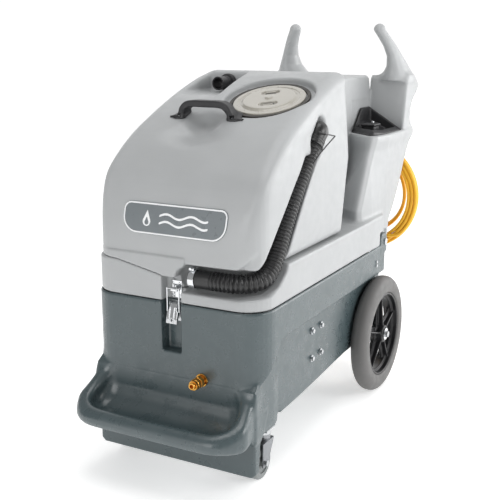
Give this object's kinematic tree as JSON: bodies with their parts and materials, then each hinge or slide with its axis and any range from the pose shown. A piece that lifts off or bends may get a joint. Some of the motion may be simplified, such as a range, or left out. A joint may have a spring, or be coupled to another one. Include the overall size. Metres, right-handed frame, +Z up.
{
  "type": "carpet extractor",
  "caption": "Box-style carpet cleaning extractor with a moulded base, tilting grey tank, push handles, rear wheels, casters, drain hose and coiled cord.",
  "frame": {"origin": "on the floor, below the middle of the box around the machine without its cord", "axes": "+Z up, +Y to the rear (operator end), +X to the right side with the fill well and drain hose"},
  "size_m": [0.49, 1.098, 0.9485],
  "materials": {
    "base_plastic": "rotomoulded, fine orange-peel texture",
    "tank_plastic": "rotomoulded, satin with a fine texture",
    "black_plastic": "moulded, satin",
    "rim_plastic": "moulded, semi-gloss",
    "tyre_rubber": "grey non-marking rubber",
    "caster_rubber": "grey non-marking rubber",
    "zinc_steel": "bright zinc plated",
    "chrome_steel": "polished",
    "brass": "machined",
    "hose_rubber": "satin black",
    "clear_plastic": "clear moulded plastic",
    "badge_plastic": "satin printed plate",
    "motor_metal": "painted",
    "white_plastic": "plain",
    "switch_plastic": "moulded gloss",
    "cord_jacket": "satin yellow jacket"
  },
  "bodies": {
    "base": {"base_shell": "base_plastic", "side_bolts": "zinc_steel", "ear_screws": "zinc_steel", "hinge_pins": "zinc_steel", "quick_coupler": "brass", "coupler_nut": "brass", "motor_gaskets": "hose_rubber", "motor_brackets": "zinc_steel", "pump": "black_plastic", "pump_motor": "motor_metal", "pump_feet": "hose_rubber", "pressure_hose": "hose_rubber", "rear_axle": "zinc_steel", "hub_washers": "zinc_steel", "hub_bolts": "zinc_steel", "caster_plates": "zinc_steel", "left_vacuum_motor": "motor_metal", "right_vacuum_motor": "motor_metal", "latch_plate": "chrome_steel"},
    "tank": {"solution_tank": "tank_plastic", "recovery_tank": "tank_plastic", "latch_keeper": "chrome_steel", "vacuum_inlet": "black_plastic", "lid_gasket": "hose_rubber", "carry_handle": "black_plastic", "handle_screws": "zinc_steel", "drain_hose": "hose_rubber", "hose_clamp": "chrome_steel", "plug_bail": "hose_rubber", "fill_tray": "black_plastic", "badge_plate": "badge_plastic", "float_cage": "black_plastic", "standpipe": "white_plastic", "control_panel": "black_plastic", "cord_gland": "black_plastic", "cord_lead": "cord_jacket", "cord_coil": "cord_jacket", "cord_tail": "cord_jacket", "cord_plug": "black_plastic", "cord_hook": "black_plastic"},
    "left_wheel": {"left_rim": "rim_plastic", "left_tyre": "tyre_rubber"},
    "right_wheel": {"right_rim": "rim_plastic", "right_tyre": "tyre_rubber"},
    "left_fork": {"left_caster_fork": "zinc_steel", "left_caster_bolt": "zinc_steel"},
    "right_fork": {"right_caster_fork": "zinc_steel", "right_caster_bolt": "zinc_steel"},
    "left_roller": {"left_caster_wheel": "caster_rubber"},
    "right_roller": {"right_caster_wheel": "caster_rubber"},
    "lever": {"latch_lever": "chrome_steel"},
    "bail": {"latch_bail": "chrome_steel"},
    "lid": {"recovery_lid": "clear_plastic"},
    "filler_cap": {"fill_cap": "black_plastic"},
    "hose_plug": {"drain_plug": "black_plastic"},
    "float": {"float_ball": "white_plastic"},
    "left_vacuum_rocker": {"left_vacuum_switch": "switch_plastic"},
    "pump_rocker": {"pump_switch": "switch_plastic"},
    "right_vacuum_rocker": {"right_vacuum_switch": "switch_plastic"}
  },
  "joints": [
    {"name": "tank_tilt", "type": "hinge", "parent": "base", "child": "tank", "pos_m": [0, 0.279, 0.389], "axis": [-1, 0, 0], "range_deg": [0, 60]},
    {"name": "left_wheel_spin", "type": "hinge", "parent": "base", "child": "left_wheel", "pos_m": [-0.215, 0.227, 0.1524], "axis": [1, 0, 0], "continuous": true},
    {"name": "right_wheel_spin", "type": "hinge", "parent": "base", "child": "right_wheel", "pos_m": [0.215, 0.227, 0.1524], "axis": [1, 0, 0], "continuous": true},
    {"name": "left_caster_swivel", "type": "hinge", "parent": "base", "child": "left_fork", "pos_m": [-0.168, -0.343, 0.09], "axis": [0, 0, 1], "continuous": true},
    {"name": "right_caster_swivel", "type": "hinge", "parent": "base", "child": "right_fork", "pos_m": [0.168, -0.343, 0.09], "axis": [0, 0, 1], "continuous": true},
    {"name": "left_caster_roll", "type": "hinge", "parent": "left_fork", "child": "left_roller", "pos_m": [-0.168, -0.365, 0.038], "axis": [1, 0, 0], "continuous": true},
    {"name": "right_caster_roll", "type": "hinge", "parent": "right_fork", "child": "right_roller", "pos_m": [0.168, -0.365, 0.038], "axis": [1, 0, 0], "continuous": true},
    {"name": "latch_lever_pull", "type": "hinge", "parent": "base", "child": "lever", "pos_m": [-0.0015, -0.412, 0.374], "axis": [-1, 0, 0], "range_deg": [0, 90]},
    {"name": "latch_bail_swing", "type": "hinge", "parent": "lever", "child": "bail", "pos_m": [-0.0015, -0.422, 0.363], "axis": [-1, 0, 0], "range_deg": [-90, 0]},
    {"name": "lid_lift", "type": "slide", "parent": "tank", "child": "lid", "axis": [0, -0.3256, 0.9455], "range_m": [0, 0.06]},
    {"name": "filler_cap_lift", "type": "slide", "parent": "tank", "child": "filler_cap", "axis": [0, 0, 1], "range_m": [0, 0.06]},
    {"name": "drain_plug_pull", "type": "slide", "parent": "tank", "child": "hose_plug", "axis": [0, 0.5057, 0.8627], "range_m": [0, 0.012]},
    {"name": "float_rise", "type": "slide", "parent": "tank", "child": "float", "axis": [0, 0, 1], "range_m": [0, 0.048]},
    {"name": "left_vacuum_switch_rock", "type": "hinge", "parent": "tank", "child": "left_vacuum_rocker", "pos_m": [-0.04, 0.4478, 0.74726], "axis": [1, 0, 0], "range_deg": [-7, 7]},
    {"name": "pump_switch_rock", "type": "hinge", "parent": "tank", "child": "pump_rocker", "pos_m": [0, 0.4478, 0.74726], "axis": [1, 0, 0], "range_deg": [-7, 7]},
    {"name": "right_vacuum_switch_rock", "type": "hinge", "parent": "tank", "child": "right_vacuum_rocker", "pos_m": [0.04, 0.4478, 0.74726], "axis": [1, 0, 0], "range_deg": [-7, 7]}
  ],
  "couplings": [
    {"joint": "latch_bail_swing", "follows": "latch_lever_pull", "ratio": -1}
  ]
}
